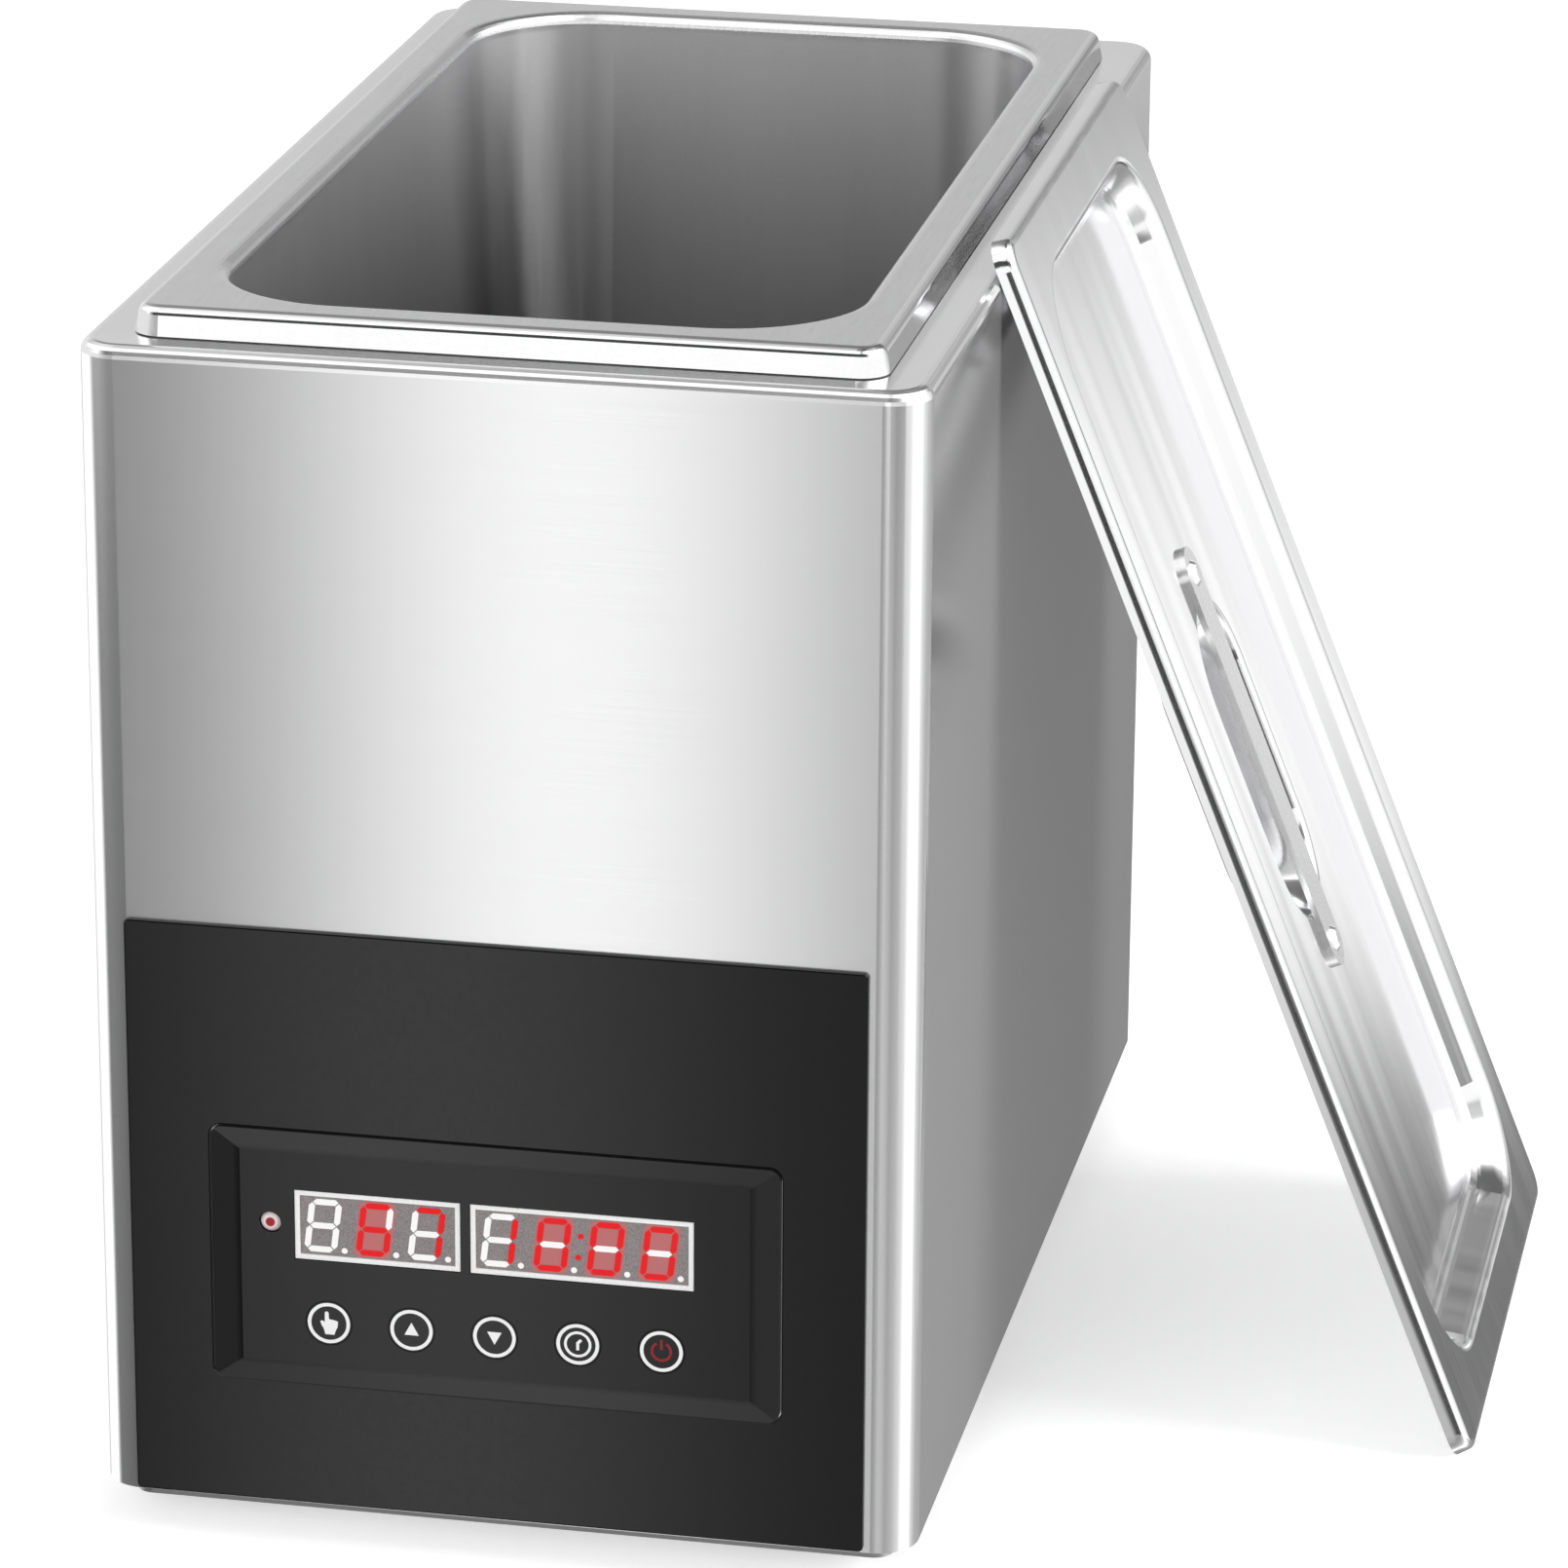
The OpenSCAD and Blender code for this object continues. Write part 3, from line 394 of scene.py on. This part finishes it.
coil_yellow = moulded("coil_yellow", linear(0.85, 0.7, 0.25), 0.4)
brass = moulded("earth_brass", linear(0.83, 0.67, 0.35), 0.3, metal=1.0)
print_white = moulded("print_white", linear(0.94), 0.5, bump=0.05, spread=0.02)
print_red = moulded("print_red", linear(0.55, 0.11, 0.14), 0.5, bump=0.05, spread=0.03)
display_frame = speckled("display_frame", linear(0.92), linear(0.97), 0.45)
figure_ground = speckled("figure_ground", linear(0.46, 0.43, 0.43), linear(0.6, 0.57, 0.57), 0.3)
figure_off = lit("figure_unlit", linear(0.98, 0.97, 0.97), 0.12, linear(0.93, 0.92, 0.92))
figure_on = lit("figure_lit", linear(0.9, 0.03, 0.07), 0.4, linear(0.72, 0.02, 0.05))
figure_halo = lit("figure_halo", linear(0.9, 0.3, 0.3), 0.1, linear(0.68, 0.42, 0.42))

# ---------------------------------------------------------------- places on the front

# In millimetres, down to the camera: the middle of the bezel in the frame, and its size
BEZEL_X, BEZEL_Z = -1.0, 74.0
BEZEL_W, BEZEL_H = 137, 64
# The faces of the displays and of the keys
FACE_Y, KEY_Y = -177.0, -177.8
LIGHT_X = -54.2
# Each display's middle, its width and its figures, where an empty text is a dark figure
DISPLAYS = {"temperature": (-28.2, 40.0, ["", "6", "7"]), "time": (21.05, 53.5, ["1", "0", "0", "0"])}
DISPLAY_Z, DISPLAY_H, FRAME_W = 8.5, 17.4, 1.2
KEY_Z, KEY_PITCH = -16.0, 20.1


def spot(x, z):
    """World x and z, in metres, of a point given from the bezel's middle in millimetres."""
    return ((BEZEL_X + x) * MM, (BEZEL_Z + z) * MM)


FINISH = {
    "body_shell": body_steel, "base_plate": base_steel, "water_tank": tank_steel,
    "insulation": wool("insulation_wool"), "heating_element": sheath, "heater_seals": silicone,
    "probe_seal": silicone, "temperature_probe": tank_steel, "limit_thermostat": ceramic,
    "thermostat_clip": zinc, "pan": pan_steel, "lid": lid_steel, "lid_handle": strap_steel,
    "handle_rivets": strap_steel, "front_panel": black_panel,
    "controller_bezel": bezel_film("bezel_film", spot(0, 0), (BEZEL_W * MM, BEZEL_H * MM)),
    "controller_housing": grey_plastic,
    "heating_light": light_body("heating_light_lens", spot(LIGHT_X, DISPLAY_Z)),
    "temperature_display": display_frame, "time_display": display_frame,
    "key_switches": nylon, "control_board": board("board_green"),
    "power_board": board("board_green_power"),
    "board_pillars": ceramic, "relay": blue_plastic, "transformer": coil_yellow,
    "terminal_block": ceramic, "earth_stud": brass, "cable_gland": nylon, "gland_cap": nylon,
    "gland_locknut": nylon, "gland_seal": rubber,
}
# The metal screws and nuts are not in the list: they are zinc plated
for name, node in nodes.items():
    if name.startswith("foot_") and name not in ("foot_screws", "foot_nuts"):
        finish = rubber
    elif name.startswith("key_") and name != "key_switches":
        finish = black_key
    else:
        finish = FINISH.get(name, zinc)
    for slot in node.material_slots:
        slot.material = finish

# ---------------------------------------------------------------- pieces on the front


def loop(bm, points, y):
    """Vertices at the depth y, from points given from the bezel's middle."""
    return [bm.verts.new(((BEZEL_X + x) * MM, y * MM, (BEZEL_Z + z) * MM)) for x, z in points]


def walls(bm, front, back):
    """Faces all round between two loops with as many vertices."""
    for i in range(len(front)):
        after = (i + 1) % len(front)
        bm.faces.new((front[i], front[after], back[after], back[i]))


def piece_from(bm, name, finish):
    """A new object of one material, from the faces in bm."""
    bmesh.ops.recalc_face_normals(bm, faces=bm.faces)
    mesh = bpy.data.meshes.new(name)
    bm.to_mesh(mesh)
    bm.free()
    mesh.materials.append(finish)
    made = bpy.data.objects.new(name, mesh)
    scene.collection.objects.link(made)
    return made


def thin_piece(name, body, finish, back_y, front_y, outlines, rings=()):
    """Flat shapes and rings that stand from back_y to front_y."""
    bm = bmesh.new()
    for points in outlines:
        front, back = loop(bm, points, front_y), loop(bm, points, back_y)
        bm.faces.new(front)
        bm.faces.new(back)
        walls(bm, front, back)
    for outer, inner in rings:
        front_outer, front_inner = loop(bm, outer, front_y), loop(bm, inner, front_y)
        back_outer, back_inner = loop(bm, outer, back_y), loop(bm, inner, back_y)
        walls(bm, front_outer, front_inner)
        walls(bm, back_outer, back_inner)
        walls(bm, front_outer, back_outer)
        walls(bm, front_inner, back_inner)
    made = piece_from(bm, name, finish)
    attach(made, body)


def moved(points, x, z):
    return [(a + x, b + z) for a, b in points]


def circle(x, z, r, count=48, start=0.0, sweep=360.0):
    """Points round a circle, or along an arc of sweep degrees from start."""
    step = sweep / (count if sweep == 360.0 else count - 1)
    angles = [math.radians(start + i * step) for i in range(count)]
    return [(x + r * math.cos(angle), z + r * math.sin(angle)) for angle in angles]


def round_box(x, z, w, h, r, steps=6):
    """Points round a rectangle with rounded corners, steps + 1 to a corner."""
    points = []
    for sx, sz, start in ((1, 1, 0), (-1, 1, 90), (-1, -1, 180), (1, -1, 270)):
        corner = circle(0, 0, r, steps + 1, start, 90.0)
        points += moved(corner, x + sx * (w / 2 - r), z + sz * (h / 2 - r))
    return points


# The figures' size, the thickness of their bars, the gaps between these, and the slant to the right
FIGURE_W = 8.0
FIGURE_H = DISPLAY_H - 2 * FRAME_W - 1.5
BAR = 1.5
BAR_GAP = 0.12 * BAR
SLANT = 0.12
# The pale glow round a lit figure that is closed
HALO_W, HALO_H, HALO_R = 8.9, FIGURE_H + 0.8, 1.6
# The figures sit this far left of the middle of their fields, to leave room for the point
FIGURE_SHIFT = 0.7
LIT_BARS = {"": "", "1": "bc", "7": "abc", "6": "acdefg", "0": "abcdef"}
# The colon: its dots' distance from the middle line, their radius, and their shift to the left
COLON_RISE, COLON_R, COLON_SHIFT = 2.7, 0.75, 0.6
# How deep the thin pieces reach into the display's face
SUNK = 0.1


def figure(cx):
    """Outlines of the seven bars, by their letter, and of the point."""
    half = FIGURE_H / 2 - BAR / 2

    def bar(x, z, length, upright):
        end, side = length / 2, BAR / 2
        tips = [(-end, 0), (-end + side, side), (end - side, side),
                (end, 0), (end - side, -side), (-end + side, -side)]
        tips = [(-b, a) if upright else (a, b) for a, b in tips]
        return [(cx + x + a + SLANT * (z + b), DISPLAY_Z + z + b) for a, b in tips]

    level, rising = FIGURE_W - BAR - 2 * BAR_GAP, half - 2 * BAR_GAP
    side = (FIGURE_W - BAR) / 2
    bars = {"a": bar(0, half, level, False), "g": bar(0, 0, level, False),
            "d": bar(0, -half, level, False),
            "b": bar(side, half / 2, rising, True), "c": bar(side, -half / 2, rising, True),
            "e": bar(-side, -half / 2, rising, True), "f": bar(-side, half / 2, rising, True)}
    return bars, circle(cx + FIGURE_W / 2 + BAR * 0.75, DISPLAY_Z - half, BAR * 0.5, 12)


for name, (x, w, text) in DISPLAYS.items():
    pitch = (w - 2 * FRAME_W) / len(text)
    off, on, halo = [], [], []
    for i, sign in enumerate(text):
        cx = x + (i - (len(text) - 1) / 2) * pitch - FIGURE_SHIFT
        bars, point = figure(cx)
        off.append(point)
        for letter, outline in bars.items():
            (on if letter in LIT_BARS[sign] else off).append(outline)
        if sign in ("6", "0"):
            glow = round_box(cx, DISPLAY_Z, HALO_W, HALO_H, HALO_R)
            halo.append([(a + SLANT * (b - DISPLAY_Z), b) for a, b in glow])
    if name == "time":
        on += [circle(x - COLON_SHIFT + SLANT * dz, DISPLAY_Z + dz, COLON_R, 14)
               for dz in (-COLON_RISE, COLON_RISE)]
    ground = [round_box(x, DISPLAY_Z, w - 2 * FRAME_W, DISPLAY_H - 2 * FRAME_W, 0.2, 2)]
    # Each layer stands out further than what it covers: ground, halo, unlit and lit figures
    for part, finish, stands, outlines in (
            ("_ground", figure_ground, 0.02, ground), ("_figures_unlit", figure_off, 0.08, off),
            ("_figures_lit", figure_on, 0.1, on), ("_figures_halo", figure_halo, 0.04, halo)):
        thin_piece(name + part, "boiler", finish, FACE_Y + SUNK, FACE_Y - stands, outlines)

# The symbols, from the middle of their key: shapes, rings and finish
HAND = [(-0.9, -2.9), (1.3, -2.9), (1.6, -1.9), (2.1, -0.9), (2.2, 0.5), (1.6, 0.75), (1.1, 0.85),
        (0.6, 0.95), (0.1, 1.0), (0.0, 1.3), (-0.05, 2.7), (-0.5, 3.0), (-0.95, 2.7), (-1.0, 0.2),
        (-1.6, 0.6), (-2.1, 0.4), (-1.9, -0.4), (-1.3, -1.4)]
CLOCK = [(-0.35, -1.5), (0.35, -1.5), (0.35, 0.2), (1.1, 0.95), (0.6, 1.4), (-0.35, 0.5)]
SYMBOLS = {
    "key_set": ([HAND], [], print_white),
    "key_up": ([[(-1.75, -1.3), (1.75, -1.3), (0, 1.9)]], [], print_white),
    "key_down": ([[(-1.75, 1.3), (0, -1.9), (1.75, 1.3)]], [], print_white),
    "key_timer": ([CLOCK], [(circle(0, 0, 3.3), circle(0, 0, 2.65))], print_white),
    "key_power": ([circle(0, 0, 2.6, 30, 120, 300) + circle(0, 0, 1.95, 30, 60, -300),
                   [(-0.32, 0.4), (0.32, 0.4), (0.32, 3.0), (-0.32, 3.0)]], [], print_red),
}
# The ring printed on each key, and how far the print stands out
RING_R, RING_INNER_R = 5.15, 4.3
PRINT = 0.05
for i, (name, (shapes, rings, finish)) in enumerate(SYMBOLS.items()):
    cx = (i - 2) * KEY_PITCH
    ring_print = [(moved(circle(0, 0, RING_R, 64), cx, KEY_Z),
                   moved(circle(0, 0, RING_INNER_R, 64), cx, KEY_Z))]
    thin_piece("ring_" + name, name + "_body", print_white, KEY_Y, KEY_Y - PRINT, [], ring_print)
    thin_piece("symbol_" + name, name + "_body", finish, KEY_Y, KEY_Y - PRINT,
               [moved(shape, cx, KEY_Z) for shape in shapes],
               [(moved(a, cx, KEY_Z), moved(b, cx, KEY_Z)) for a, b in rings])

# The front panel: its size, the z of its lower edge in the frame, its corners and its opening
PLATE_W, PLATE_H, PLATE_BOTTOM, PLATE_R = 177, 145.5, 10.5, 1.2
OPENING_W, OPENING_H, OPENING_R = 137.5, 64.5, 3.1


def panel_plate():
    """The front panel with a rounded edge outside and round its opening."""
    cz = PLATE_BOTTOM + PLATE_H / 2 - BEZEL_Z
    # How far each loop lies in from the edge, its y, and whether it goes round the opening
    stages = [(0.0, -176.02, False), (0.0, -176.75, False), (0.13, -177.07, False),
              (0.45, -177.2, False), (-0.35, -177.2, True), (-0.1, -177.1, True),
              (0.0, -176.85, True), (0.0, -176.02, True)]
    bm = bmesh.new()
    loops = []
    for inset, y, opening in stages:
        if opening:
            points = round_box(0, 0, OPENING_W - 2 * inset, OPENING_H - 2 * inset, OPENING_R - inset)
        else:
            points = round_box(0, cz, PLATE_W - 2 * inset, PLATE_H - 2 * inset, PLATE_R - inset)
        loops.append(loop(bm, points, y))
    loops.append(loops[0])
    for a, b in zip(loops, loops[1:]):
        walls(bm, a, b)
    made = piece_from(bm, "panel_plate", black_panel)
    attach(made, "boiler")
    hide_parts("front_panel")


panel_plate()

# ---------------------------------------------------------------- camera

# Lens, axes and place were fitted to the outline in the photo
camera_data = bpy.data.cameras.new("camera")
camera_data.sensor_width = 36.0
camera_data.lens = 163.28
camera_data.clip_end = 20.0
camera = bpy.data.objects.new("camera", camera_data)
scene.collection.objects.link(camera)
view_right = Vector((0.981079, 0.193505, 0.006372)).normalized()
view_forward = Vector((-0.180713, 0.92704, -0.328541)).normalized()
view_up = view_right.cross(view_forward).normalized()
pose = Matrix((view_right, view_up, -view_forward)).transposed().to_4x4()
pose.translation = Vector((0.35953, -1.67549, 0.73178))
camera.matrix_world = pose
scene.camera = camera

# ---------------------------------------------------------------- room and light

scene.view_settings.view_transform = "Standard"

world = bpy.data.worlds.new("studio")
scene.world = world
g = Graph(world, "ShaderNodeOutputWorld")
facing = g.add("ShaderNodeTexCoord").outputs["Generated"]
split = g.add("ShaderNodeSeparateXYZ", {"Vector": facing})
height = split.outputs["Z"]
# Compass of the direction looked at: 0 is the front (-Y), pi / 2 the right, pi and -pi the back
compass = g.math("ARCTAN2", split.outputs["X"], g.math("MULTIPLY", split.outputs["Y"], -1.0))
# The same from 0 to 1: 0.5 is the front, 0.75 the right, 0 and 1 the back
turn = g.remap(compass, -math.pi, math.pi)
# Ramps hold up to 1, which stands for this brightness
TOP = 3.0
BLACK = (0.0, 0.0, 0.0)
SHEET = 1.4 / TOP
# The plain light, for all but reflections
SOFT = 0.55
# How high the low part of the room reaches ahead and elsewhere, as the z of a direction
LOW_TOP_AHEAD = 0.05
LOW_TOP = -0.25


def ring(stops):
    """Brightness round the room, from (degrees, brightness) pairs."""
    return g.ramp(turn, [(0.5 + degrees / 360, level / TOP) for degrees, level in stops])


def sector(middle, half, soft):
    """1 where the compass lies within half of middle, all in degrees."""
    return g.inside(compass, math.radians(middle), math.radians(half), math.radians(soft))


# Below the horizon: white sheets at both sides, dark between
low_ring = ring([(-180, 0.12), (-150, 0.5), (-125, 1.6), (-95, 1.6), (-78, 0.05), (-18, 0.0),
                 (-9, 0.25), (2, 0.25), (7, 0.5), (18, 0.5), (28, 0.3), (45, 0.42), (66, 0.7),
                 (80, 1.45), (100, 1.45), (112, 0.7), (130, 0.35), (150, 0.3), (169.8, 0.34),
                 (170.4, 0.24), (170.9, 0.13), (172, 0.13), (180, 0.12)])
# Ahead, a little to the left: a soft box that the front wall mirrors
BOX_FROM, BOX_SPAN = -18, 9
box_stops = [(-17.0, 0.0), (-16.44, 0.02), (-16.1, 0.13), (-15.8, 0.25), (-15.46, 0.4),
             (-15.14, 0.6), (-14.8, 0.76), (-14.5, 0.92), (-14.16, 1.08), (-13.84, 1.22),
             (-13.5, 1.34), (-13.2, 1.4), (-12.5, 1.4), (-12.2, 1.3), (-11.9, 1.14),
             (-11.56, 1.0), (-11.2, 0.84), (-10.9, 0.7), (-10.6, 0.54), (-10.3, 0.32),
             (-10.1, 0.2), (-9.2, 0.2)]
front_box = g.ramp(g.remap(compass, math.radians(BOX_FROM), math.radians(BOX_FROM + BOX_SPAN)),
                   [((degrees - BOX_FROM) / BOX_SPAN, level / TOP) for degrees, level in box_stops])
low_room = g.blend(sector(-13.4, 4.3, 0.1), low_ring, front_box)
# Round the horizon
mid_ring = ring([(-180, 0.6), (-160, 0.7), (-150, 0.9), (-60, 0.9), (-35, 0.5), (-24, 0.4),
                 (-18, 1.2), (40, 1.15), (120, 1.15), (137, 0.85), (150, 0.5), (156.5, 0.55),
                 (159, 1.2), (161.5, 1.25), (163.2, 0.8), (165, 0.65), (168, 0.45), (174, 0.45),
                 (180, 0.6)])
# What the lid's floor mirrors: dark for its lower end, bright for its middle, grey for its top
lid_run = g.ramp(g.remap(height, -0.26, -0.04),
                 [(0.0, 0.08), (0.2, 0.1), (0.28, 0.3), (0.37, 0.8), (0.48, 1.0), (0.76, 1.0),
                  (0.86, 0.6), (1.0, 0.45)])
mid_room = g.blend(sector(158.5, 9.5, 1.5), mid_ring, lid_run, "MULTIPLY")
# Black below the horizon, for the dark line along the lid's lip
lip_flag = g.math("MULTIPLY", sector(31, 20, 1), g.remap(height, 0.01, -0.005))
mid_room = g.blend(lip_flag, mid_room, BLACK)
high_ring = ring([(-180, 0.1), (-150, 0.3), (-115, 1.5), (-65, 1.5), (-40, 0.5), (-25, 0.3),
                  (10, 0.3), (35, 1.2), (60, 2.9), (125, 2.9), (145, 0.7), (160, 0.1), (180, 0.1)])
above = g.blend(g.remap(height, 0.30, 0.46, smooth=True), mid_room, high_ring)
# The low part reaches up to the horizon ahead, and ends lower everywhere else
low_top = g.remap(sector(-9.5, 11.5, 1), 0, 1, LOW_TOP, LOW_TOP_AHEAD)
over = g.remap(g.math("SUBTRACT", height, low_top), -0.012, 0.012, smooth=True)
room = g.blend(over, low_room, above)
# A black flag ahead, 19 to 40 degrees up, and a white sheet above it
front_flag = g.math("MULTIPLY", g.inside(height, 0.48, 0.16, 0.04), g.inside(turn, 0.49, 0.14, 0.04))
room = g.blend(front_flag, room, BLACK)
top_sheet = g.math("MULTIPLY", sector(-20, 25, 4), g.remap(height, 0.64, 0.68))
room = g.blend(top_sheet, room, (SHEET, SHEET, SHEET))
# The room shows in reflections only: the camera sees white, and the rest gets a plain light
studio = g.add("ShaderNodeBackground", {"Color": room, "Strength": TOP})
soft = g.add("ShaderNodeBackground", {"Color": (1, 1, 1, 1), "Strength": SOFT})
white = g.add("ShaderNodeBackground", {"Color": (1, 1, 1, 1), "Strength": 1.0})
path = g.add("ShaderNodeLightPath")
first = g.add("ShaderNodeMixShader", {0: path.outputs["Is Glossy Ray"], 1: soft, 2: studio})
seen = g.math("MAXIMUM", path.outputs["Is Camera Ray"], path.outputs["Is Transmission Ray"])
g.put(g.out.inputs["Surface"], g.add("ShaderNodeMixShader", {0: seen, 1: first, 2: white}))

LAMP_AIM = Vector((0, 0, 0.15))


def area_lamp(name, place, size, watts):
    """A square lamp that lights the object but isn't mirrored in it."""
    data = bpy.data.lights.new(name, "AREA")
    data.shape = "RECTANGLE"
    data.size = size
    data.size_y = size
    data.energy = watts
    lamp = bpy.data.objects.new(name, data)
    scene.collection.objects.link(lamp)
    lamp.location = place
    lamp.rotation_mode = "QUATERNION"
    lamp.rotation_quaternion = (LAMP_AIM - Vector(place)).to_track_quat("-Z", "Y")
    lamp.visible_glossy = False


area_lamp("side_light", (1.9, -0.1, 0.75), 0.9, 34.0)
area_lamp("front_light", (-0.5, -1.9, 0.95), 1.0, 16.0)

FLOOR_HALF = 6
corners = [(x * FLOOR_HALF, y * FLOOR_HALF, 0) for x, y in ((-1, -1), (1, -1), (1, 1), (-1, 1))]
floor_mesh = bpy.data.meshes.new("floor")
floor_mesh.from_pydata(corners, [], [(0, 1, 2, 3)])
floor = bpy.data.objects.new("floor", floor_mesh)
scene.collection.objects.link(floor)
floor.visible_glossy = False
g = material("floor_pale")
paper = g.add("ShaderNodeBsdfDiffuse", {"Color": g.ramp(g.noise(40.0), [(0, 0.8), (1, 0.82)])})
# The camera sees the paper lifted towards white, less so near the object, where its shadow is
here = g.place()
away = g.distance(here["X"], here["Y"])
by_camera = g.add("ShaderNodeLightPath").outputs["Is Camera Ray"]
strength = g.math("MULTIPLY", by_camera, g.remap(away, 0.2, 0.9, 0.45, 0.65))
lift = g.add("ShaderNodeEmission", {"Color": (1, 1, 1, 1), "Strength": strength})
g.put(g.out.inputs["Surface"], g.add("ShaderNodeAddShader", {0: paper, 1: lift}))
floor_mesh.materials.append(g.owner)
